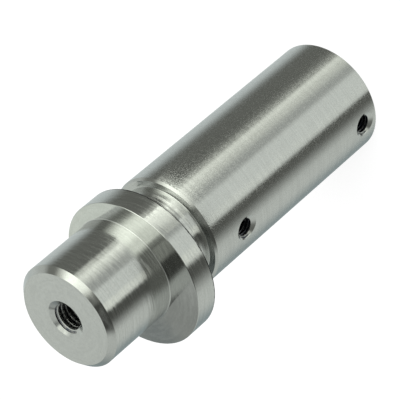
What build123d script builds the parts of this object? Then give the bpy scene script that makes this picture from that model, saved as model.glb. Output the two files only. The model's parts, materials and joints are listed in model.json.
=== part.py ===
# Steering link pin: one turned bar with a plain body, a relief neck, a collar
# set off centre, and a nose. It stands on its far end with the nose up.
# Sizes are in millimetres. The main axis is Z, and the cross holes and the
# wide side of the collar face -Y.
import math
import os

from build123d import *

# Body: the bearing length of the pin
body_diameter = 22.0
body_length = 47.0
body_end_chamfer = 0.15
body_front_chamfer = 0.4

# Relief neck between the body and the collar
neck_groove_depth = 1.75
neck_length = 7.0
neck_root_radius = 0.15

# Nose: the short journal in front of the collar
nose_diameter = 20.0
nose_length = 15.0
nose_chamfer = 1.0
nose_root_radius = 0.15

# Collar: a disc whose centre is set off the main axis, towards the cross holes,
# so that its narrow side still stands proud of the nose
collar_thickness = 4.5
collar_offset = 2.0
collar_narrow_lip = 2.0
collar_edge_break = 0.08

# Tapped holes, cut at the tap drill's size, with a countersunk mouth and a drill
# point at the bottom
drill_point_angle = 118.0
countersink_angle = 118.0
nose_drill_diameter = 5.0
nose_countersink_diameter = 6.8
nose_hole_depth = 16.0
cross_drill_diameter = 3.3
cross_countersink_diameter = 4.5
cross_hole_depth = 8.0
end_hole_from_end = 3.5
front_hole_from_front = 8.5

# Places and radii worked out from the sizes above
body_radius = body_diameter / 2
neck_radius = body_radius - neck_groove_depth
nose_radius = nose_diameter / 2
collar_radius = nose_radius + collar_narrow_lip + collar_offset
collar_bottom = body_length + neck_length
collar_top = collar_bottom + collar_thickness
nose_top = collar_top + nose_length
cross_hole_heights = (end_hole_from_end, body_length - front_hole_from_front)
match_tolerance = 0.001


def rim_edges(part, radius, height):
    """The round edges of one radius that lie level at one height."""
    rims = part.edges().filter_by(GeomType.CIRCLE)
    rims = rims.filter_by(lambda rim: abs(rim.radius - radius) < match_tolerance)
    return rims.filter_by(lambda rim: abs(rim.arc_center.Z - height) < match_tolerance)


def cut_tapped_hole(mouth, drill_diameter, countersink_diameter, depth):
    """Cut a countersunk blind hole whose mouth plane looks out of the part."""
    drill_radius = drill_diameter / 2
    countersink_radius = countersink_diameter / 2
    countersink_slope = math.tan(math.radians(countersink_angle / 2))
    countersink_depth = (countersink_radius - drill_radius) / countersink_slope
    point_depth = drill_radius / math.tan(math.radians(drill_point_angle / 2))
    section_plane = Plane(origin=mouth.origin, x_dir=mouth.x_dir, z_dir=mouth.y_dir)
    with BuildSketch(section_plane) as hole_section:
        with BuildLine():
            Polyline(
                (0, 0),
                (countersink_radius, 0),
                (drill_radius, countersink_depth),
                (drill_radius, depth),
                (0, depth + point_depth),
                close=True,
            )
        make_face()
    hole_axis = Axis(mouth.origin, mouth.z_dir)
    revolve(hole_section.sketch, axis=hole_axis, mode=Mode.SUBTRACT)


with BuildPart() as link_pin:
    # Everything turned on the main axis, as half of its section
    with BuildSketch(Plane.XZ):
        with BuildLine():
            Polyline(
                (0, 0),
                (body_radius - body_end_chamfer, 0),
                (body_radius, body_end_chamfer),
                (body_radius, body_length - body_front_chamfer),
                (body_radius - body_front_chamfer, body_length),
                (neck_radius, body_length),
                (neck_radius, collar_bottom),
                (nose_radius, collar_bottom),
                (nose_radius, nose_top - nose_chamfer),
                (nose_radius - nose_chamfer, nose_top),
                (0, nose_top),
                close=True,
            )
        make_face()
    revolve(axis=Axis.Z)

    # The collar, turned on its own centre
    with BuildSketch(Plane.XY.offset(collar_bottom)):
        with Locations((0, -collar_offset)):
            Circle(collar_radius)
    extrude(amount=collar_thickness)

    # Root radii of the nose and the neck, and the collar's broken edges
    fillet(rim_edges(link_pin, nose_radius, collar_top), nose_root_radius)
    fillet(rim_edges(link_pin, neck_radius, collar_bottom), neck_root_radius)
    fillet(rim_edges(link_pin, neck_radius, body_length), neck_root_radius)
    chamfer(rim_edges(link_pin, collar_radius, collar_top), collar_edge_break)
    chamfer(rim_edges(link_pin, collar_radius, collar_bottom), collar_edge_break)

    # Tapped hole on the axis of the nose
    nose_face = Plane.XY.offset(nose_top)
    cut_tapped_hole(nose_face, nose_drill_diameter, nose_countersink_diameter, nose_hole_depth)

    # Two tapped cross holes in one line along the body
    for height in cross_hole_heights:
        mouth = Plane(origin=(0, -body_radius, height), x_dir=(1, 0, 0), z_dir=(0, -1, 0))
        cut_tapped_hole(mouth, cross_drill_diameter, cross_countersink_diameter, cross_hole_depth)

link_pin.part.label = "link_pin"

os.makedirs("parts", exist_ok=True)
export_step(link_pin.part, "parts/link_pin.step")

print(f"height {nose_top:.1f}, collar diameter {2 * collar_radius:.1f}, neck diameter {2 * neck_radius:.1f}")
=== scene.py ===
# %% [markdown]
# # A turned steering link pin
# The object is one steel bar turned on a lathe: a plain bearing body, a relief neck, a collar that was
# turned off centre, a short nose, and three tapped holes. This file rebuilds it with its turned edges, its
# screw threads and its lathe marks, and then lights it as bright metal wants to be lit.
#
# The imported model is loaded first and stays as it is. Everything made here is in metres and in its frame.

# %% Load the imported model
import json
import math

import bmesh
import bpy
from mathutils import Matrix, Vector


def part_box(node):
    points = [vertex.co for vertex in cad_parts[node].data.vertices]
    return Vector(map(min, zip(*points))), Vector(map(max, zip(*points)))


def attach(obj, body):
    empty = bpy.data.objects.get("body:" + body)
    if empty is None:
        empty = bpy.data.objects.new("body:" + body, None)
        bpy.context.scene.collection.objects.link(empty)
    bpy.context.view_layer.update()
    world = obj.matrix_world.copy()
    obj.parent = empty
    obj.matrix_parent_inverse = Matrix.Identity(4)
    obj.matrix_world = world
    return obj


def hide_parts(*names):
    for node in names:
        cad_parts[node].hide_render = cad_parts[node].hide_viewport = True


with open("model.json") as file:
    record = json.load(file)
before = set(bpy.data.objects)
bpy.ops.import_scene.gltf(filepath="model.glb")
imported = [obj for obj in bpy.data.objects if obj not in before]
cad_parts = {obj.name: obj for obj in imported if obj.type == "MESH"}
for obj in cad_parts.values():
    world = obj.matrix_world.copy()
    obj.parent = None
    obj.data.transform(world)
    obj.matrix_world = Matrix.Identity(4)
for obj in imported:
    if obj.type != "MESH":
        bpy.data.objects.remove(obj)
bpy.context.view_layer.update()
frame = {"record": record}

# %% [markdown]
# ## Sizes
# A size is best written once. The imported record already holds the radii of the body, the nose and the tap
# drills, and the heights of the collar's two faces, so they are read from it. What the record doesn't hold,
# such as the chamfers and the neck, is named below.

# %% Sizes read from the record
MM = 0.001
mounts = {mount["name"]: mount for mount in frame["record"]["mounts"]}
pin_low, pin_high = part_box("link_pin")


def stated_radius(name):
    """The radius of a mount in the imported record, in metres."""
    return mounts[name]["dims"]["r_mm"] * MM


body_radius = stated_radius("body")
nose_radius = stated_radius("nose")
nose_drill_radius = stated_radius("nose_thread")
cross_drill_radius = stated_radius("front_cross_thread")
collar_bottom = mounts["collar_back"]["pos_m"][2]
collar_top = mounts["collar_face"]["pos_m"][2]
cross_hole_heights = [mounts[name]["pos_m"][2] for name in ("end_cross_thread", "front_cross_thread")]
nose_top = pin_high.z
collar_radius = (pin_high.x - pin_low.x) / 2
collar_centre_y = (pin_high.y + pin_low.y) / 2
collar_offset = round(-collar_centre_y / MM, 2)
print("collar radius", round(collar_radius / MM, 2), "mm, set", collar_offset, "mm off centre")

# %% Sizes of the turned details
neck_length = 7.0 * MM
neck_groove_depth = 1.75 * MM
neck_radius = body_radius - neck_groove_depth
body_top = collar_bottom - neck_length
end_chamfer = 0.15 * MM
front_chamfer = 0.4 * MM
nose_chamfer = 1.0 * MM
collar_edge_break = 0.08 * MM
root_radius = 0.15 * MM
edge_rounding = 0.03 * MM
neck_rise = 0.15 * MM
neck_rise_height = 0.75 * MM
neck_rise_radius = 6.0 * MM
print("body", round(body_top / MM, 2), "mm long, neck radius", round(neck_radius / MM, 2), "mm")

# %% [markdown]
# ## The camera
# The picture was taken with a long lens from above one side, with the camera rolled so that the nose points
# down to the left. A camera's aim is easiest to read as an azimuth, an elevation and a roll about the line
# of sight, so the three are named and turned into one rotation.

# %% Place the camera
camera_azimuth = math.radians(48.0)
camera_elevation = math.radians(36.51)
camera_roll = math.radians(-130.37)
camera_distance = 419.46 * MM
camera_aim = Vector((0.441, 0.490, 36.818)) * MM
camera_lens = 218.37
camera_clip_start = 0.01

camera_back = Vector((
    math.sin(camera_azimuth) * math.cos(camera_elevation),
    -math.cos(camera_azimuth) * math.cos(camera_elevation),
    math.sin(camera_elevation),
))
camera_data = bpy.data.cameras.new("camera")
camera_data.lens = camera_lens
camera_data.clip_start = camera_clip_start
camera = bpy.data.objects.new("camera", camera_data)
bpy.context.scene.collection.objects.link(camera)
level_turn = camera_back.to_track_quat("Z", "Y").to_matrix()
camera.matrix_world = Matrix.LocRotScale(
    camera_aim + camera_back * camera_distance,
    level_turn @ Matrix.Rotation(camera_roll, 3, "Z"),
    None,
)
bpy.context.scene.camera = camera
print("camera at", [round(value, 3) for value in camera.location])

# %% [markdown]
# ## The turned outline
# A turned part is a stack of rings. The outline below lists its corners from the far end up: each has a
# radius, a height, the place of its own centre, and how far its edge is rounded. It could be one profile
# spun round the axis, but the collar has a centre of its own. So the pin grows ring by ring: each new ring
# is the last one extruded, scaled and moved, and the collar's rings are simply moved to the side.
#
# The floor of the neck isn't quite straight either. The grooving tool left it in a shallow curve that rises
# towards the body. The rise is only a seventh of a millimetre, yet it turns the reflection up by twenty
# degrees, and without it the neck would end in a dark ring there.
#
# No real edge is perfectly sharp. Each corner becomes a small arc, because that thin rounded strip is what
# catches the light along a machined edge.

# %% The outline's corners
MAIN_AXIS = 0.0
corners = (
    (body_radius - end_chamfer, 0.0, MAIN_AXIS, edge_rounding),
    (body_radius, end_chamfer, MAIN_AXIS, edge_rounding),
    (body_radius, body_top - front_chamfer, MAIN_AXIS, edge_rounding),
    (body_radius - front_chamfer, body_top, MAIN_AXIS, edge_rounding),
    (neck_radius + neck_rise, body_top, MAIN_AXIS, root_radius),
    (neck_radius, body_top + neck_rise_height, MAIN_AXIS, neck_rise_radius),
    (neck_radius, collar_bottom, MAIN_AXIS, root_radius),
    (collar_radius - collar_edge_break, collar_bottom, collar_centre_y, edge_rounding),
    (collar_radius, collar_bottom + collar_edge_break, collar_centre_y, edge_rounding),
    (collar_radius, collar_top - collar_edge_break, collar_centre_y, edge_rounding),
    (collar_radius - collar_edge_break, collar_top, collar_centre_y, edge_rounding),
    (nose_radius, collar_top, MAIN_AXIS, root_radius),
    (nose_radius, nose_top - nose_chamfer, MAIN_AXIS, edge_rounding),
    (nose_radius - nose_chamfer, nose_top, MAIN_AXIS, edge_rounding),
)
print(len(corners), "corners")

# %% [markdown]
# Smooth shading bends the light over a whole face if the face ends at a rounded edge. A holding ring, a
# hair outside each arc, keeps the long faces flat and the cylinders true.

# %% Round the corners
ARC_STEPS = 4
HOLD = 0.015 * MM


def corner_rings(before, corner, after):
    """The rings of one rounded corner: a holding ring, the arc and a holding ring."""
    radius, height, centre, rounding = corner
    tip = Vector((radius, height))
    arriving = (tip - Vector(before[:2])).normalized()
    leaving = (Vector(after[:2]) - tip).normalized()
    turn = arriving.angle_signed(leaving)
    reach = rounding * math.tan(abs(turn) / 2)
    start = tip - arriving * reach
    side = Vector((-arriving.y, arriving.x)) * (-1 if turn > 0 else 1)
    pivot = start + side * rounding
    points = [start - arriving * HOLD]
    for step in range(ARC_STEPS + 1):
        bend = Matrix.Rotation(-turn * step / ARC_STEPS, 2)
        points.append(pivot + bend @ (start - pivot))
    points.append(points[-1] + leaving * HOLD)
    return [(point.x, point.y, centre) for point in points]


def rounded_outline(listed):
    """Every ring of the pin, from the far end's face to the nose's face."""
    closed = [(0.0, listed[0][1]), *listed, (0.0, listed[-1][1])]
    rings = []
    for before, corner, after in zip(closed, closed[1:], closed[2:]):
        rings.extend(corner_rings(before, corner, after))
    return rings


rings = rounded_outline(corners)
print(len(rings), "rings from", round(rings[0][1] / MM, 3), "to", round(rings[-1][1] / MM, 3), "mm")

# %% Grow the pin ring by ring
RING_STEPS = 256


def ring_middle(centre, height):
    """The middle of a ring."""
    return Vector((0.0, centre, height))


def grow_pin(stack):
    """One closed mesh that passes through every ring, with a flat cap at each end."""
    mesh = bmesh.new()
    radius, height, centre = stack[0]
    bmesh.ops.create_circle(
        mesh,
        cap_ends=True,
        segments=RING_STEPS,
        radius=radius,
        matrix=Matrix.Translation(ring_middle(centre, height)),
    )
    rim = list(mesh.edges)
    for next_radius, next_height, next_centre in stack[1:]:
        grown = bmesh.ops.extrude_edge_only(mesh, edges=rim)["geom"]
        rim = [part for part in grown if isinstance(part, bmesh.types.BMEdge)]
        points = [part for part in grown if isinstance(part, bmesh.types.BMVert)]
        scale = next_radius / radius
        middle = Matrix.Translation(-ring_middle(centre, height))
        bmesh.ops.scale(mesh, vec=(scale, scale, 1.0), space=middle, verts=points)
        move = ring_middle(next_centre, next_height) - ring_middle(centre, height)
        bmesh.ops.translate(mesh, vec=move, verts=points)
        radius, height, centre = next_radius, next_height, next_centre
    bmesh.ops.edgeloop_fill(mesh, edges=rim)
    bmesh.ops.recalc_face_normals(mesh, faces=mesh.faces)
    return mesh


def finish_mesh(mesh, name):
    """Turn a bmesh into an object that sits at the origin."""
    data = bpy.data.meshes.new(name)
    mesh.to_mesh(data)
    mesh.free()
    made = bpy.data.objects.new(name, data)
    bpy.context.scene.collection.objects.link(made)
    return made


pin = finish_mesh(grow_pin(rings), "turned_link_pin")
print("blank has", len(pin.data.polygons), "faces")

# %% [markdown]
# ## Tapped holes
# A machinist makes each hole in three steps. A drill leaves a cylinder with a 118 degree point, a
# countersink with the same point opens the mouth, and a tap cuts the thread. The same steps are followed
# here with boolean cuts. A bump map would be lighter, but the thread's first turns show in the mouth of
# each hole, and only real geometry gives those dark, jagged crescents.
#
# The drill and its countersink are one outline spun round the hole's axis. Both reach past the mouth, so
# that no cut ends in the surface that it opens.

# %% The drill
DRILL_STEPS = 96
DRILL_POINT = math.radians(118.0)
OVERSHOOT = 1.0 * MM
DRILL_MERGE = 0.001 * MM


def drill(radius, countersink_radius, depth):
    """A drill with its countersink. Its mouth is at the origin and it reaches down -Z."""
    mesh = bmesh.new()
    widening = math.tan(DRILL_POINT / 2)
    outline = (
        (0.0, OVERSHOOT),
        (countersink_radius + OVERSHOOT * widening, OVERSHOOT),
        (radius, (radius - countersink_radius) / widening),
        (radius, -depth),
        (0.0, -depth - radius / widening),
    )
    points = [mesh.verts.new((across, 0.0, up)) for across, up in outline]
    sides = [mesh.edges.new(pair) for pair in zip(points, points[1:])]
    bmesh.ops.spin(
        mesh,
        geom=points + sides,
        cent=(0, 0, 0),
        axis=(0, 0, 1),
        angle=math.tau,
        steps=DRILL_STEPS,
        use_merge=True,
    )
    bmesh.ops.remove_doubles(mesh, verts=mesh.verts, dist=DRILL_MERGE)
    bmesh.ops.recalc_face_normals(mesh, faces=mesh.faces)
    return mesh


# %% [markdown]
# The tap is a helix. One pitch of the thread's profile is spun round the axis and raised a little at every
# step, so that after one full turn it has climbed exactly one pitch and meets its own start. The coinciding
# edges are merged, and two flat cuts give the screw its ends. The profile is that of a metric thread: along
# one pitch, an eighth is the flat at the thread's bottom, a quarter the flat at its crest, and two flanks
# of five sixteenths each join them.
#
# Three details keep the cuts clean. The screw starts half a step lower than it has to, so that neither flat
# cut passes exactly through a point. Its inner flat lies a little inside the drilled hole, because two
# surfaces that lie in each other confuse a boolean. And the flank that looks out of the hole has one more
# corner, so that the part of it next to the crest can get a finish of its own.

# %% The tap
TAP_STEPS = 64
TAP_MERGE = 0.002 * MM
SPARE_TURNS = 2
FLANK_EDGE = 0.45


def tap(major_radius, inner_radius, pitch, depth):
    """A screw as a closed mesh. It reaches from above the mouth down to the given depth."""
    mesh = bmesh.new()
    turns = math.ceil((depth + OVERSHOOT) / pitch) + SPARE_TURNS
    low = -depth - pitch * (1 + 0.5 / TAP_STEPS)
    profile = (
        (major_radius, 0.0),
        (major_radius, pitch / 8),
        (inner_radius, pitch * 7 / 16),
        (inner_radius, pitch * 11 / 16),
        (inner_radius * (1 - FLANK_EDGE) + major_radius * FLANK_EDGE, pitch * (11 + 5 * FLANK_EDGE) / 16),
        (major_radius, pitch),
    )
    points = [mesh.verts.new((across, 0.0, low + up)) for across, up in profile]
    sides = [mesh.edges.new(pair) for pair in zip(points, points[1:])]
    bmesh.ops.spin(
        mesh,
        geom=points + sides,
        cent=(0, 0, 0),
        axis=(0, 0, 1),
        dvec=(0, 0, pitch / TAP_STEPS),
        angle=math.tau * turns,
        steps=TAP_STEPS * turns,
        use_merge=False,
    )
    bmesh.ops.remove_doubles(mesh, verts=mesh.verts, dist=TAP_MERGE)
    for height, upward in ((-depth, -1), (OVERSHOOT, 1)):
        cut = bmesh.ops.bisect_plane(
            mesh,
            geom=list(mesh.verts) + list(mesh.edges) + list(mesh.faces),
            plane_co=(0, 0, height),
            plane_no=(0, 0, upward),
            clear_outer=True,
        )["geom_cut"]
        rim = [part for part in cut if isinstance(part, bmesh.types.BMEdge)]
        bmesh.ops.edgeloop_fill(mesh, edges=rim)
    bmesh.ops.recalc_face_normals(mesh, faces=mesh.faces)
    return mesh


# %% [markdown]
# The nose has an M6 thread and the body two M4 threads. A hole is placed by its mouth, a matrix whose Z
# axis points out of the hole. The tools are made at the origin and moved there. The countersinks open a
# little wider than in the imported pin, because the real ones do.

# %% The three holes
M6 = (3.0 * MM, 1.0 * MM)
M4 = (2.0 * MM, 0.7 * MM)
TAP_INNER_SHARE = 0.97
NOSE_MOUTH = 3.65 * MM
CROSS_MOUTH = 2.5 * MM
nose_hole_depth = 16.0 * MM
nose_thread_depth = 13.0 * MM
cross_hole_depth = 8.0 * MM
cross_thread_depth = 6.3 * MM
drills = []
taps = []


def tapped_hole(mouth, thread, drill_radius, mouth_radius, depth, thread_depth):
    """Make one hole's drill and tap at its mouth. A thread is its outer radius and its pitch."""
    major_radius, pitch = thread
    drills.append(drill(drill_radius, mouth_radius, depth))
    taps.append(tap(major_radius, drill_radius * TAP_INNER_SHARE, pitch, thread_depth))
    for tool in (drills[-1], taps[-1]):
        tool.transform(mouth)


nose_mouth = Matrix.Translation((0, 0, nose_top))
tapped_hole(nose_mouth, M6, nose_drill_radius, NOSE_MOUTH, nose_hole_depth, nose_thread_depth)
for height in cross_hole_heights:
    cross_mouth = Matrix.Translation((0, -body_radius, height)) @ Matrix.Rotation(math.pi / 2, 4, "X")
    tapped_hole(cross_mouth, M4, cross_drill_radius, CROSS_MOUTH, cross_hole_depth, cross_thread_depth)
print(len(drills), "drills and", len(taps), "taps")

# %% [markdown]
# Two boolean modifiers do the cutting: one takes away all three drills, and one all three taps. A thread
# leaves slivers, and a second cut after it would have to work its way through them. The result is made into
# a plain mesh at once, so the finished pin has no live modifier, and the cutters are thrown away.

# %% Cut the tapped holes
def cut_away(target, tools):
    """Remove the volume of all the tools from the target."""
    joined = bmesh.new()
    for tool in tools:
        one_tool = bpy.data.meshes.new("one_tool")
        tool.to_mesh(one_tool)
        tool.free()
        joined.from_mesh(one_tool)
        bpy.data.meshes.remove(one_tool)
    cutter = finish_mesh(joined, "cutters")
    boolean = target.modifiers.new("cut", "BOOLEAN")
    boolean.operation = "DIFFERENCE"
    boolean.solver = "EXACT"
    boolean.object = cutter
    depsgraph = bpy.context.evaluated_depsgraph_get()
    carved = bpy.data.meshes.new_from_object(target.evaluated_get(depsgraph))
    target.modifiers.clear()
    blank = target.data
    target.data = carved
    bpy.data.meshes.remove(blank)
    bpy.data.meshes.remove(cutter.data)


cut_away(pin, drills)
cut_away(pin, taps)
print("pin has", len(pin.data.polygons), "faces after the cuts")

# %% [markdown]
# Smooth shading is right for the cylinders and the small arcs, and wrong across the rims of the holes and
# the flanks of the threads. Edges that turn by more than a set angle are marked sharp. The same pass counts
# the edges that don't lie between exactly two faces, because a closed solid has none.

# %% Smooth the cylinders and keep the edges
SHARP_ANGLE = math.radians(26.0)


def shade_turned(target):
    """Smooth every face and mark the edges that turn sharply."""
    mesh = bmesh.new()
    mesh.from_mesh(target.data)
    bmesh.ops.recalc_face_normals(mesh, faces=mesh.faces)
    for face in mesh.faces:
        face.smooth = True
    open_edges = 0
    for edge in mesh.edges:
        if len(edge.link_faces) != 2:
            open_edges += 1
            continue
        edge.smooth = edge.calc_face_angle() < SHARP_ANGLE
    mesh.to_mesh(target.data)
    mesh.free()
    return open_edges


print("open edges:", shade_turned(pin))

# %% [markdown]
# ## Bare steel, a finish for each tool
# The whole pin is one bright steel, but each surface was left by another tool. The body is ground, so its
# grain is fine and short. The nose, the collar's rim and the neck are turned, so they carry marks round the
# axis, and the neck's are the coarsest. The flat faces look almost even, and the collar's front is a little
# dished, so that it shows another part of the room than the nose's face does.
#
# Marks much finer than a pixel can't be drawn one by one. Their joint effect can: they spread a reflection
# across the marks and leave it crisp along them. That is what the shader's anisotropy does, given the
# direction of the marks. The marks that are just large enough to see are added on top: streak by streak,
# the surface leans a degree or so to one side or the other and is smoother or rougher.

# %% Helpers that add nodes
def add_node(tree, kind, **settings):
    """Add a node, set its properties and return it."""
    node = tree.nodes.new(kind)
    for name, value in settings.items():
        setattr(node, name, value)
    return node


def feed(tree, socket, value):
    """Link an output to a socket, or write a plain value into it."""
    if isinstance(value, bpy.types.NodeSocket):
        tree.links.new(value, socket)
    else:
        socket.default_value = value


def calculate(tree, operation, *values):
    """A Math node's output."""
    node = add_node(tree, "ShaderNodeMath", operation=operation)
    for socket, value in zip(node.inputs, values):
        feed(tree, socket, value)
    return node.outputs["Value"]


# %% Helpers for vectors
def combine(tree, x, y, z):
    """A vector made of three numbers."""
    node = add_node(tree, "ShaderNodeCombineXYZ")
    for socket, value in zip(node.inputs, (x, y, z)):
        feed(tree, socket, value)
    return node.outputs[0]


def lengthen(tree, vector, amount):
    """A vector times a number."""
    node = add_node(tree, "ShaderNodeVectorMath", operation="SCALE")
    feed(tree, node.inputs[0], vector)
    feed(tree, node.inputs["Scale"], amount)
    return node.outputs[0]


def join(tree, first, second):
    """The sum of two vectors."""
    node = add_node(tree, "ShaderNodeVectorMath", operation="ADD")
    feed(tree, node.inputs[0], first)
    feed(tree, node.inputs[1], second)
    return node.outputs[0]


# %% Helpers for values, colours and noise
COLOR_INPUTS = (6, 7)
COLOR_OUTPUT = 2
NOISE_ROUGHNESS = 0.6


def map_range(tree, value, low, high, new_low, new_high):
    """A value mapped smoothly from one range to another, and held at its ends."""
    node = add_node(tree, "ShaderNodeMapRange", interpolation_type="SMOOTHSTEP")
    for socket, number in zip(node.inputs, (value, low, high, new_low, new_high)):
        feed(tree, socket, number)
    return node.outputs["Result"]


def mix_colors(tree, share, first, second):
    """A colour between two others. Some of the node's sockets share a name, so these go by number."""
    node = add_node(tree, "ShaderNodeMix", data_type="RGBA")
    feed(tree, node.inputs["Factor"], share)
    for index, color in zip(COLOR_INPUTS, (first, second)):
        feed(tree, node.inputs[index], color)
    return node.outputs[COLOR_OUTPUT]


def noise_value(tree, vector, detail):
    """Noise from 0 to 1 at a place."""
    noise = add_node(tree, "ShaderNodeTexNoise")
    feed(tree, noise.inputs["Vector"], vector)
    noise.inputs["Scale"].default_value = 1.0
    noise.inputs["Detail"].default_value = detail
    noise.inputs["Roughness"].default_value = NOISE_ROUGHNESS
    return noise.outputs["Fac"]


# %% [markdown]
# Object coordinates alone would draw the marks as flat layers. Lathe marks run round the axis on the long
# sides and in circles on the faces. So the marks are counted along a length that grows both up the pin and
# out from its axis, and a mark is drawn out along the direction that runs round the axis.

# %% The lathe marks' own coordinates
ACROSS_FACES = 0.73
NEARLY_ZERO = 1e-10


def turned_coordinates(tree):
    """The place on the pin, the directions out from its axis and round it, and the way across the marks."""
    place_on_pin = add_node(tree, "ShaderNodeTexCoord").outputs["Object"]
    parts = add_node(tree, "ShaderNodeSeparateXYZ")
    feed(tree, parts.inputs[0], place_on_pin)
    x, y, z = parts.outputs
    squared = calculate(tree, "ADD", calculate(tree, "MULTIPLY", x, x), calculate(tree, "MULTIPLY", y, y))
    radius = calculate(tree, "SQRT", calculate(tree, "MAXIMUM", squared, NEARLY_ZERO))
    across = calculate(tree, "ADD", z, calculate(tree, "MULTIPLY", radius, ACROSS_FACES))
    out_x, out_y = (calculate(tree, "DIVIDE", axis, radius) for axis in (x, y))
    outwards = combine(tree, out_x, out_y, 0.0)
    round_axis = combine(tree, calculate(tree, "MULTIPLY", out_y, -1.0), out_x, 0.0)
    return place_on_pin, outwards, round_axis, across


def streaks(tree, outwards, across, marks_per_mm, marks_round, detail):
    """Noise drawn out round the axis, from 0 to 1."""
    along = lengthen(tree, outwards, marks_round)
    step = calculate(tree, "MULTIPLY", across, marks_per_mm / MM)
    return noise_value(tree, join(tree, along, combine(tree, 0.0, 0.0, step)), detail)


# %% [markdown]
# Along the edge at the back of the collar, shade is painted in as a dark, ragged line. It is a
# second colour that is mixed in by height, and noise shifts that height to make the border ragged.

# %% Colours of the steel and of the painted shade along its edge
STEEL = (0.625, 0.635, 0.620)
# The near-black colour of the painted shade along the collar's back edge.
EDGE_SHADE_COLOR = (0.05, 0.05, 0.05, 1.0)
EDGE_SHADE_SPOTS = 0.9 / MM
EDGE_SHADE_RAGGED = 0.5 * MM
EDGE_SHADE_FULL = 0.44 * MM
EDGE_SHADE_GONE = 0.56 * MM


def edge_shade_mask(tree, place_on_pin, height):
    """From 1 at a height to 0 a little above it, with a ragged border."""
    parts = add_node(tree, "ShaderNodeSeparateXYZ")
    feed(tree, parts.inputs[0], place_on_pin)
    ragged = noise_value(tree, lengthen(tree, place_on_pin, EDGE_SHADE_SPOTS), detail=3.0)
    above = calculate(tree, "MULTIPLY_ADD", ragged, EDGE_SHADE_RAGGED, parts.outputs["Z"])
    return map_range(tree, above, height + EDGE_SHADE_FULL, height + EDGE_SHADE_GONE, 1.0, 0.0)


def shades(shade, contrast):
    """The darkest and the lightest steel of a finish."""
    return [(*[part * shade * level for part in STEEL], 1.0) for level in (1 - contrast, 1 + contrast)]


# %% [markdown]
# One function makes the steel of every surface. Three kinds of noise go into it: short marks, long ridges
# and specks. Noise rarely leaves the middle of its range, so the colour and the roughness are spread over
# that middle. The normal is leaned by hand and not with a Bump node, because a Bump node leans it by the
# height's change from one pixel to the next, and these marks are finer than that.

# %% The steel material
QUARTER_TURN = 0.25
RIDGES_ROUND = 1.6
MARKS_RANGE = (0.35, 0.65)
MOTTLE_RANGE = (0.38, 0.62)
NOISE_MIDDLE = 0.5


def steel(
    name, marks, ridges, grain, contrast, slopes, roughness, spread, dish=0.0, shade=1.0, painted_shade_edge=None
):
    """Bright bare steel.

    marks: how many short marks there are to a mm across them, and to a radian along them.
    ridges: how many long ridges there are to a mm.
    grain: how many specks there are to a mm.
    contrast: how far the colour strays to either side of its mean.
    slopes: how far the marks lean round the axis, and the ridges across themselves.
    roughness: that of the smoothest and of the roughest marks.
    spread: the anisotropy.
    dish: how far the whole surface leans outwards.
    shade: how bright the steel's colour is.
    painted_shade_edge: a height at which the surface ends in a dark line of painted shade.
    """
    material = bpy.data.materials.new(name)
    material.use_nodes = True
    tree = material.node_tree
    shader = tree.nodes["Principled BSDF"]
    shader.inputs["Metallic"].default_value = 1.0
    shader.inputs["Anisotropic"].default_value = spread
    shader.inputs["Anisotropic Rotation"].default_value = QUARTER_TURN
    place_on_pin, outwards, round_axis, across = turned_coordinates(tree)
    feed(tree, shader.inputs["Tangent"], round_axis)

    short = streaks(tree, outwards, across, *marks, detail=1.0)
    long = streaks(tree, outwards, across, ridges, RIDGES_ROUND, detail=2.0)
    specks = noise_value(tree, lengthen(tree, place_on_pin, grain / MM), detail=2.0)
    together = calculate(tree, "ADD", calculate(tree, "ADD", long, specks), short)
    mottle = calculate(tree, "DIVIDE", together, 3.0)
    share = map_range(tree, mottle, *MOTTLE_RANGE, 0.0, 1.0)
    color = mix_colors(tree, share, *shades(shade, contrast))
    # Painted shade: a dark line is mixed in along the collar's back edge.
    if painted_shade_edge is not None:
        color = mix_colors(tree, edge_shade_mask(tree, place_on_pin, painted_shade_edge), color, EDGE_SHADE_COLOR)
    feed(tree, shader.inputs["Base Color"], color)
    feed(tree, shader.inputs["Roughness"], map_range(tree, short, *MARKS_RANGE, *roughness))

    normal = add_node(tree, "ShaderNodeNewGeometry").outputs["Normal"]
    round_slope, across_slope = (
        calculate(tree, "MULTIPLY", calculate(tree, "SUBTRACT", uneven, NOISE_MIDDLE), slope)
        for uneven, slope in zip((short, long), slopes)
    )
    up_the_marks = add_node(tree, "ShaderNodeVectorMath", operation="CROSS_PRODUCT")
    feed(tree, up_the_marks.inputs[0], normal)
    feed(tree, up_the_marks.inputs[1], round_axis)
    leaning = join(tree, normal, lengthen(tree, round_axis, round_slope))
    leaning = join(tree, leaning, lengthen(tree, up_the_marks.outputs[0], across_slope))
    if dish:
        leaning = join(tree, leaning, lengthen(tree, outwards, dish))
    straight = add_node(tree, "ShaderNodeVectorMath", operation="NORMALIZE")
    feed(tree, straight.inputs[0], leaning)
    feed(tree, shader.inputs["Normal"], straight.outputs[0])
    return material


# %% [markdown]
# The tapped bores get a darker finish. A tap leaves torn, oily flanks that never see the light directly.
# Their dark colour is partly that oil and partly painted shade deep in the hole.

# %% The finish of the bores
OIL_AND_SHADE_DARK = (0.10, 0.11, 0.14, 1.0)
WIPED_BUT_SHADED = (0.30, 0.30, 0.30, 1.0)
OIL_AND_SHADE_SPOTS = 1.5 / MM
BORE_ROUGHNESS = 0.3


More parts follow.
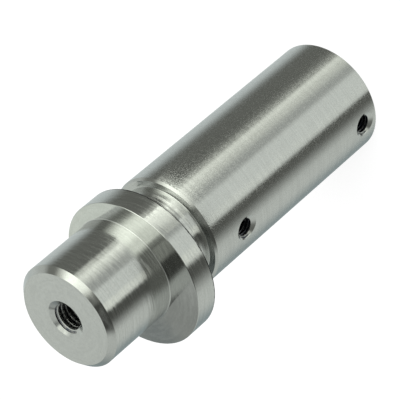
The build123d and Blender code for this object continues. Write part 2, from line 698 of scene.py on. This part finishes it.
def bore_steel():
    """The rough flanks of the tapped holes, dark with oil and with painted shade."""
    material = bpy.data.materials.new("tapped_bore")
    material.use_nodes = True
    tree = material.node_tree
    shader = tree.nodes["Principled BSDF"]
    shader.inputs["Metallic"].default_value = 1.0
    shader.inputs["Roughness"].default_value = BORE_ROUGHNESS
    place_on_pin = add_node(tree, "ShaderNodeTexCoord").outputs["Object"]
    oil = noise_value(tree, lengthen(tree, place_on_pin, OIL_AND_SHADE_SPOTS), detail=2.0)
    share = map_range(tree, oil, *MARKS_RANGE, 0.0, 1.0)
    # Oil and painted shade: the bore's colour runs between two dark greys.
    feed(tree, shader.inputs["Base Color"], mix_colors(tree, share, OIL_AND_SHADE_DARK, WIPED_BUT_SHADED))
    return material


# %% [markdown]
# The finishes differ in the size of their marks, in how far these lean, and in how rough they are. The nose
# is turned finely and regularly, the collar's rim and the small edges a little less so. The collar's back
# was left rough, and its colour is painted darker where it faces down into the neck. The crests of the
# threads are torn, the more so further down, and the deeper ones are darkened as painted shade deep in
# the holes.

# %% All the finishes
finishes = {
    "nose": steel(
        "nose_steel",
        marks=(3.4, 3.0), ridges=3.2, grain=3.0, contrast=0.07,
        slopes=(0.03, 0.10), roughness=(0.10, 0.20), spread=0.9,
    ),
    "turned": steel(
        "turned_steel",
        marks=(3.2, 3.0), ridges=3.0, grain=3.0, contrast=0.05,
        slopes=(0.02, 0.12), roughness=(0.08, 0.24), spread=0.8,
    ),
    "rim": steel(
        "collar_rim",
        marks=(3.2, 3.0), ridges=3.0, grain=3.0, contrast=0.07,
        slopes=(0.02, 0.10), roughness=(0.08, 0.22), spread=0.8, painted_shade_edge=collar_bottom,
    ),
    "neck": steel(
        "neck_steel",
        marks=(3.0, 1.2), ridges=2.6, grain=1.4, contrast=0.20,
        slopes=(0.02, 0.05), roughness=(0.06, 0.14), spread=0.6,
    ),
    "ground": steel(
        "ground_steel",
        marks=(4.2, 40.0), ridges=3.6, grain=4.2, contrast=0.09,
        slopes=(0.04, 0.05), roughness=(0.08, 0.28), spread=0.7,
    ),
    "faced": steel(
        "faced_steel",
        marks=(2.4, 8.0), ridges=2.4, grain=2.2, contrast=0.05,
        slopes=(0.01, 0.01), roughness=(0.14, 0.18), spread=0.0,
    ),
    "dished": steel(
        "dished_collar_face",
        marks=(2.4, 6.0), ridges=2.6, grain=2.8, contrast=0.05,
        slopes=(0.02, 0.02), roughness=(0.06, 0.10), spread=0.7, dish=0.08,
    ),
    # The collar's back is painted darker, at less than half the steel's brightness.
    "back": steel(
        "rough_collar_back",
        marks=(2.4, 6.0), ridges=2.6, grain=2.8, contrast=0.10,
        slopes=(0.05, 0.05), roughness=(0.30, 0.36), spread=0.5, shade=0.45,
    ),
    "crest": steel(
        "thread_crests",
        marks=(2.4, 8.0), ridges=2.4, grain=2.8, contrast=0.15,
        slopes=(0.05, 0.05), roughness=(0.28, 0.38), spread=0.0,
    ),
    # The deeper crests are painted darker: painted shade deep in the hole.
    "deep_crest": steel(
        "deep_thread_crests",
        marks=(2.4, 8.0), ridges=2.4, grain=2.8, contrast=0.75,
        slopes=(0.05, 0.05), roughness=(0.28, 0.38), spread=0.0, shade=0.6,
    ),
    "bore": bore_steel(),
}
print(len(finishes), "finishes")

# %% [markdown]
# Where a face lies and which way it looks tell which tool made it. So each face finds its finish from a few
# questions, and no list of face numbers is needed. The holes come first: a countersink is told by its cone,
# and a thread's crest from its flanks by the distance from the hole's axis.

# %% The finish of a face in a hole
NEAR = 0.03 * MM
BRIGHT_TURNS = 1.3


def hole_finish(distance, depth, thread, drill_radius, countersink_radius, deeper):
    """The finish of a place in a tapped hole, or None outside it.

    The place is given by its distance from the hole's axis and its depth. The crests past the bright first
    turns get the finish that is named as deeper.
    """
    if distance > countersink_radius + NEAR or depth < NEAR:
        return None
    cone_distance = countersink_radius - depth * math.tan(DRILL_POINT / 2)
    if abs(distance - cone_distance) < NEAR:
        return "faced"
    if distance > thread[0] + NEAR:
        return None
    edge = thread[0] * FLANK_EDGE + drill_radius * (1 - FLANK_EDGE)
    if distance > edge:
        return "bore"
    return "crest" if depth < BRIGHT_TURNS * thread[1] else deeper


def finish_in_holes(middle):
    """The finish of a place in any of the three holes, or None."""
    if middle.z > collar_top:
        distance = math.hypot(middle.x, middle.y)
        return hole_finish(distance, nose_top - middle.z, M6, nose_drill_radius, NOSE_MOUTH, "deep_crest")
    if middle.y > 0 or middle.z > body_top:
        return None
    height = min(cross_hole_heights, key=lambda hole_height: abs(hole_height - middle.z))
    distance = math.hypot(middle.x, middle.z - height)
    if math.hypot(middle.x, middle.y) > body_radius - NEAR:
        return None
    return hole_finish(distance, body_radius + middle.y, M4, cross_drill_radius, CROSS_MOUTH, "bore")


# %% Give each face its finish
FLAT = 0.98
UPRIGHT = 0.02


def finish_of(face):
    """The finish of one face, from where it is and which way it looks."""
    middle = face.center
    found = finish_in_holes(middle)
    if found:
        return found
    if face.normal.z > FLAT and abs(middle.z - collar_top) < NEAR:
        return "dished"
    if face.normal.z < -FLAT and abs(middle.z - collar_bottom) < NEAR:
        return "back"
    if abs(face.normal.z) > FLAT and (middle.z > nose_top - NEAR or middle.z < NEAR):
        return "faced"
    upright = abs(face.normal.z) < UPRIGHT
    if upright and middle.z < body_top - front_chamfer:
        return "ground"
    if upright and middle.z < collar_bottom:
        return "neck"
    if upright:
        return "rim" if middle.z < collar_top else "nose"
    return "turned"


finish_names = list(finishes)
pin.data.materials.clear()
for name in finish_names:
    pin.data.materials.append(finishes[name])
counts = dict.fromkeys(finish_names, 0)
for face in pin.data.polygons:
    finish = finish_of(face)
    face.material_index = finish_names.index(finish)
    counts[finish] += 1
print("faces of each finish:", counts)

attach(pin, "root")
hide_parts("link_pin")

# %% [markdown]
# ## The studio
# Bright metal has almost no colour of its own: it shows what stands round it. So the studio is built for
# reflections, and the light on the floor is kept apart from it.
#
# The floor is white card. It glows a little by itself, so that it is white for the camera and still takes
# the pin's soft shadow. It is hidden from reflections, where painted cards take its place.

# %% The floor
FLOOR_RADIUS = 1.5
FLOOR_STEPS = 64
FLOOR_COLOR = (0.3, 0.3, 0.3, 1.0)
FLOOR_GLOW = 0.78
floor_mesh = bmesh.new()
bmesh.ops.create_circle(floor_mesh, cap_ends=True, segments=FLOOR_STEPS, radius=FLOOR_RADIUS)
floor = finish_mesh(floor_mesh, "floor")
floor.visible_glossy = False


def floor_material():
    """White card: mostly its own white for the camera, with the soft shadow left in."""
    material = bpy.data.materials.new("white_table")
    material.use_nodes = True
    tree = material.node_tree
    tree.nodes.remove(tree.nodes["Principled BSDF"])
    diffuse = add_node(tree, "ShaderNodeBsdfDiffuse")
    diffuse.inputs["Color"].default_value = FLOOR_COLOR
    glow = add_node(tree, "ShaderNodeEmission")
    glow.inputs["Strength"].default_value = FLOOR_GLOW
    both = add_node(tree, "ShaderNodeAddShader")
    tree.links.new(diffuse.outputs[0], both.inputs[0])
    tree.links.new(glow.outputs[0], both.inputs[1])
    tree.links.new(both.outputs[0], tree.nodes["Material Output"].inputs["Surface"])
    return material


floor.data.materials.append(floor_material())
print("floor", 2 * FLOOR_RADIUS, "metres across")

# %% [markdown]
# Cards stand round the pin in seven rings, one above the other, and each surface shows the ring that it
# looks at. The long sides look down: the body shows the bottom ring, the nose and the collar the low one
# above it. The middle, shoulder, high and upper rings show in the flat faces, and in the corners where a
# face is seen by way of the wall beside it. The ceiling shows in the nose's chamfer. They could be real lit
# boxes, but a painted surrounding has no noise, and a card in it is moved by changing two numbers.
#
# Each card has a name, the two bearings between which it stands, how bright it is, and a tint. A bearing is
# counted in degrees from the camera, against the clock as seen from above. Left and right in the names are
# those of the picture, where the cards with positive bearings show on the left. Between two cards the
# brightness runs smoothly from one to the other. In the list of all the rings, the two numbers before a
# ring are elevations: between them it takes over from the ring below it.

# %% Tints of the cards
WARM = (0.965, 1.0, 0.905)
PLAIN = (0.955, 1.0, 0.945)
PAPER = (0.942, 1.0, 0.912)
COOL = (0.92, 1.0, 0.985)
BLUE = (0.85, 1.0, 1.01)

# %% The two lowest rings, seen in the long sides
LOW_CARDS = (
    ("dim wall behind", -180, -152, 0.34, BLUE),
    ("grey wall, right", -106, -91, 0.66, PLAIN),
    ("black flag, right", -55, -43.5, 0.08, WARM),
    ("table's lit border", -34.5, -27.5, 0.98, WARM),
    ("white table in front", -21, 0, 0.78, PLAIN),
    ("table's shaded edge", 10, 16.5, 0.455, PLAIN),
    ("table lit by the softbox", 41, 43.5, 1.08, WARM),
    ("border of the lit table", 49, 51, 0.86, WARM),
    ("black flag, left", 59, 103, 0.165, WARM),
    ("pale wall behind", 138, 180, 0.66, COOL),
)
BOTTOM_CARDS = (
    ("dim wall behind", -180, -152, 0.34, BLUE),
    ("grey wall, right", -106, -91, 0.66, PLAIN),
    ("black flag, right", -55, -47, 0.14, WARM),
    ("white table in front", -39, -1, 0.82, PLAIN),
    ("table's shaded edge", 9.5, 14, 0.485, PLAIN),
    ("table's lit edge", 31, 32, 0.77, WARM),
    ("table lit by the softbox", 42, 44.5, 1.00, WARM),
    ("border of the lit table", 50.7, 51.2, 0.38, WARM),
    ("soft border of the flag", 63, 64, 0.21, WARM),
    ("black flag, left", 72, 103, 0.165, WARM),
    ("pale wall behind", 138, 180, 0.66, COOL),
)

# %% The rings seen in the faces and the corners
MIDDLE_CARDS = (
    ("wall straight behind", -180, -177.5, 0.70, PLAIN),
    ("dim wall behind", -174, -162, 0.28, COOL),
    ("grey wall, right", -118, -98, 0.60, PLAIN),
    ("dark room, right", -64, -48, 0.20, WARM),
    ("table seen far off", -40, -3, 0.24, WARM),
    ("softbox, near end", 15, 22, 1.48, WARM),
    ("softbox, middle", 42, 56, 2.20, WARM),
    ("black flag, left", 97, 107, 0.23, WARM),
    ("edge of the pale wall", 121, 123, 0.56, PLAIN),
    ("pale wall, left", 142, 150, 0.66, PLAIN),
    ("white background", 166, 173, 0.84, PAPER),
    ("wall straight behind", 177.5, 180, 0.70, PLAIN),
)
SHOULDER_CARDS = (
    ("wall straight behind", -180, -177.5, 0.70, PLAIN),
    ("dim wall behind", -174, -171, 0.34, PLAIN),
    ("darkest part of the wall", -158, -140, 0.15, PLAIN),
    ("grey wall, right", -112, -98, 0.60, PLAIN),
    ("dark room, right", -78, -42, 0.07, WARM),
    ("table seen far off", -38, -3, 0.27, WARM),
    ("softbox, near end", 13, 22, 1.24, WARM),
    ("softbox, middle", 43, 52, 1.95, WARM),
    ("softbox, far end", 66, 70, 1.55, WARM),
    ("black flag, left", 101, 112, 0.24, WARM),
    ("pale wall, left", 130, 150, 0.68, PLAIN),
    ("white background", 166, 172, 0.84, PAPER),
    ("wall straight behind", 177.5, 180, 0.70, PLAIN),
)
HIGH_CARDS = (
    ("wall straight behind", -180, -177.5, 0.70, PLAIN),
    ("dim wall behind", -174, -171, 0.42, PLAIN),
    ("lighter part of the wall", -160, -150, 0.62, PLAIN),
    ("grey wall, right", -112, -98, 0.60, PLAIN),
    ("dark room, right", -78, -44, 0.07, WARM),
    ("table seen far off", -31, -10, 0.55, WARM),
    ("crack before the softbox", -4, -3, 0.31, WARM),
    ("softbox's dim edge", 4, 5, 0.44, WARM),
    ("softbox, near end", 12.5, 34, 1.40, WARM),
    ("softbox, middle", 53, 66, 1.84, WARM),
    ("black flag, left", 92, 108, 0.30, WARM),
    ("pale wall, left", 130, 150, 0.68, PLAIN),
    ("white background", 166, 172, 0.84, PAPER),
    ("wall straight behind", 177.5, 180, 0.70, PLAIN),
)
UPPER_CARDS = (
    ("dim wall behind", -180, -150, 0.40, PLAIN),
    ("grey wall, right", -112, -98, 0.60, PLAIN),
    ("dark room, right", -78, -28, 0.07, WARM),
    ("gap before the softbox", -16, -4, 0.18, WARM),
    ("softbox's dim edge", 5, 6, 0.33, WARM),
    ("softbox's lit edge", 15, 16, 0.72, WARM),
    ("softbox, near end", 30, 36, 1.36, WARM),
    ("softbox, far end", 60, 90, 1.60, WARM),
    ("pale wall, left", 118, 180, 0.68, PLAIN),
)

# %% The ceiling, and all the rings from the lowest up
CEILING_CARDS = (
    ("ceiling", -180, -95, 0.66, PLAIN),
    ("dark ceiling, right", -72, -24, 0.22, PLAIN),
    ("ceiling in front", -2, 4, 0.60, PLAIN),
    ("softbox overhead", 20, 80, 1.10, WARM),
    ("ceiling, left", 102, 180, 0.66, PLAIN),
)
RINGS = (
    (-90, -90, BOTTOM_CARDS),
    (-36.4, -34.4, LOW_CARDS),
    (-20, 24, MIDDLE_CARDS),
    (30, 35, SHOULDER_CARDS),
    (38.5, 42, HIGH_CARDS),
    (46, 50, UPPER_CARDS),
    (64, 74, CEILING_CARDS),
)
print(len(RINGS), "rings with", sum(len(cards) for _, _, cards in RINGS), "cards")

# %% [markdown]
# A ring is a colour ramp over the bearing, with a stop at each end of a card. A ramp holds at most 32 stops,
# so a ring has at most 16 cards. The same ramps paint the world and the two low cards further down.

# %% Helpers that paint the rings
HALF_TURN = 180.0


def bearing_of(tree, vector):
    """The bearing of a vector from the camera's side, as 0 to 1 for half a turn to either side."""
    parts = add_node(tree, "ShaderNodeSeparateXYZ")
    feed(tree, parts.inputs[0], vector)
    x, y, _ = parts.outputs
    ahead = Vector((camera_back.x, camera_back.y)).normalized()
    x_ahead, y_ahead = (calculate(tree, "MULTIPLY", part, side) for part, side in zip((x, y), ahead))
    y_aside, x_aside = (calculate(tree, "MULTIPLY", part, side) for part, side in zip((y, x), ahead))
    along = calculate(tree, "ADD", x_ahead, y_ahead)
    aside = calculate(tree, "SUBTRACT", y_aside, x_aside)
    return calculate(tree, "MULTIPLY_ADD", calculate(tree, "ARCTAN2", aside, along), 1 / math.tau, 0.5)


def card_ring(tree, bearing, cards):
    """A colour ramp over the bearing, with one flat stretch for each card."""
    node = add_node(tree, "ShaderNodeValToRGB")
    feed(tree, node.inputs["Fac"], bearing)
    ramp = node.color_ramp
    ramp.interpolation = "EASE"
    stops = []
    for _, start, end, level, tint in cards:
        color = (*[level * part for part in tint], 1.0)
        stops.extend(((start, color), (end, color)))
    while len(ramp.elements) > 1:
        ramp.elements.remove(ramp.elements[-1])
    for index, (angle, color) in enumerate(stops):
        position = (angle + HALF_TURN) / (2 * HALF_TURN)
        element = ramp.elements[0] if index == 0 else ramp.elements.new(position)
        element.position = position
        element.color = color
    return node.outputs["Color"]


# %% Paint the studio
ROOM_LIGHT = (0.55, 0.55, 0.55, 1.0)
WHITE = (1.0, 1.0, 1.0, 1.0)


def studio_world():
    """White for the camera, plain grey for the floor's light, and the rings of cards for reflections."""
    world = bpy.data.worlds.new("studio")
    world.use_nodes = True
    bpy.context.scene.world = world
    tree = world.node_tree
    background = tree.nodes["Background"]
    ray = add_node(tree, "ShaderNodeTexCoord").outputs["Generated"]
    bearing = bearing_of(tree, ray)
    parts = add_node(tree, "ShaderNodeSeparateXYZ")
    feed(tree, parts.inputs[0], ray)
    elevation = calculate(tree, "ARCSINE", parts.outputs["Z"])
    seen_cards = card_ring(tree, bearing, RINGS[0][-1])
    for start, end, cards in RINGS[1:]:
        share = map_range(tree, elevation, math.radians(start), math.radians(end), 0.0, 1.0)
        seen_cards = mix_colors(tree, share, seen_cards, card_ring(tree, bearing, cards))
    light_path = add_node(tree, "ShaderNodeLightPath")
    seen = mix_colors(tree, light_path.outputs["Is Glossy Ray"], ROOM_LIGHT, seen_cards)
    seen = mix_colors(tree, light_path.outputs["Is Camera Ray"], seen, WHITE)
    feed(tree, background.inputs["Color"], seen)
    background.inputs["Strength"].default_value = 1.0
    return world


studio = studio_world()
print("world:", len(studio.node_tree.nodes), "nodes")

# %% [markdown]
# The collar and the neck catch more light than the body beside them, though they look the same way.
# Something small and near must be in their view and not in the body's, such as a strip of white card lying
# low. So there are two such strips. A ray that leaves the collar or the neck comes down onto its strip, and
# one from the body passes below both. The neck's strip is near the pin, and its edges fall away to the
# sides, where a ray from the neck has further to go before it arrives. Both strips show only in
# reflections.

# %% The shades of the two low cards
CARD_STEPS = 22
COLLAR_CARD_SHADES = (
    ("edge towards the camera", 8, 12, 0.72, WARM),
    ("near stretch", 24, 25, 1.17, WARM),
    ("middle", 31, 32, 1.36, WARM),
    ("brightest stretch", 37, 60, 1.68, WARM),
)
NECK_CARD_SHADES = (
    ("dark end on the right", -40, -36, 0.06, WARM),
    ("dim stretch", -30, -24, 0.16, WARM),
    ("grey stretch", -13, -9, 0.42, WARM),
    ("edge towards the camera", 6, 10, 1.02, WARM),
    ("near stretch", 22, 25, 1.45, WARM),
    ("brightest stretch", 36, 46, 1.80, WARM),
    ("far stretch", 54, 58, 1.40, WARM),
    ("fading end", 68, 71, 0.72, WARM),
    ("dark end", 78, 80, 0.20, WARM),
)


# %% Low cards for the collar and the neck
def low_card(name, distance, bearings, heights, falls, shades_of_card):
    """A strip of card that stands round the pin.

    Its lower and its upper edge have the two heights towards the camera, and have fallen by the two falls at
    its far end.
    """
    mesh = bmesh.new()
    facing = math.atan2(camera_back.y, camera_back.x)
    start, end = bearings
    edges = []
    for height, fall in zip(heights, falls):
        row = []
        for step in range(CARD_STEPS + 1):
            bearing = start + (end - start) * step / CARD_STEPS
            angle = facing + math.radians(bearing)
            fallen = height - fall * (bearing / end) ** 2
            row.append(mesh.verts.new((distance * math.cos(angle), distance * math.sin(angle), fallen)))
        edges.extend(mesh.edges.new(pair) for pair in zip(row, row[1:]))
    bmesh.ops.bridge_loops(mesh, edges=edges)
    card = finish_mesh(mesh, name)
    material = bpy.data.materials.new(name)
    material.use_nodes = True
    tree = material.node_tree
    tree.nodes.remove(tree.nodes["Principled BSDF"])
    place_on_card = add_node(tree, "ShaderNodeTexCoord").outputs["Object"]
    glow = add_node(tree, "ShaderNodeEmission")
    feed(tree, glow.inputs["Color"], card_ring(tree, bearing_of(tree, place_on_card), shades_of_card))
    tree.links.new(glow.outputs[0], tree.nodes["Material Output"].inputs["Surface"])
    card.data.materials.append(material)
    card.visible_camera = False
    card.visible_diffuse = False
    card.visible_shadow = False
    return card


low_card(
    "collar_card",
    distance=49.0 * MM,
    bearings=(8.0, 40.3),
    heights=(22.5 * MM, 33.5 * MM),
    falls=(0.0, 0.0),
    shades_of_card=COLLAR_CARD_SHADES,
)
low_card(
    "neck_card",
    distance=25.0 * MM,
    bearings=(-40.0, 80.0),
    heights=(36.2 * MM, 37.4 * MM),
    falls=(3.1 * MM, 1.8 * MM),
    shades_of_card=NECK_CARD_SHADES,
)
print("two low cards of", CARD_STEPS, "faces each")

# %% [markdown]
# One broad lamp overhead gives the floor its soft shadow. The pin's reflections don't show it.

# %% A soft lamp for the shadow
LAMP_WIDTH = 0.8
LAMP_POWER = 6.0
lamp_place = Vector((0.35, -0.1, 0.9))
lamp_data = bpy.data.lights.new("soft_lamp", "AREA")
lamp_data.shape = "DISK"
lamp_data.size = LAMP_WIDTH
lamp_data.energy = LAMP_POWER
lamp = bpy.data.objects.new("soft_lamp", lamp_data)
bpy.context.scene.collection.objects.link(lamp)
lamp.visible_glossy = False
lamp.matrix_world = Matrix.LocRotScale(lamp_place, lamp_place.to_track_quat("Z", "Y"), None)
print("lamp of", LAMP_POWER, "watts,", LAMP_WIDTH, "metres across")

# %% [markdown]
# ## Last steps
# The Standard view transform shows each colour as it is written.

# %% Settings that belong to the scene
bpy.context.scene.view_settings.view_transform = "Standard"
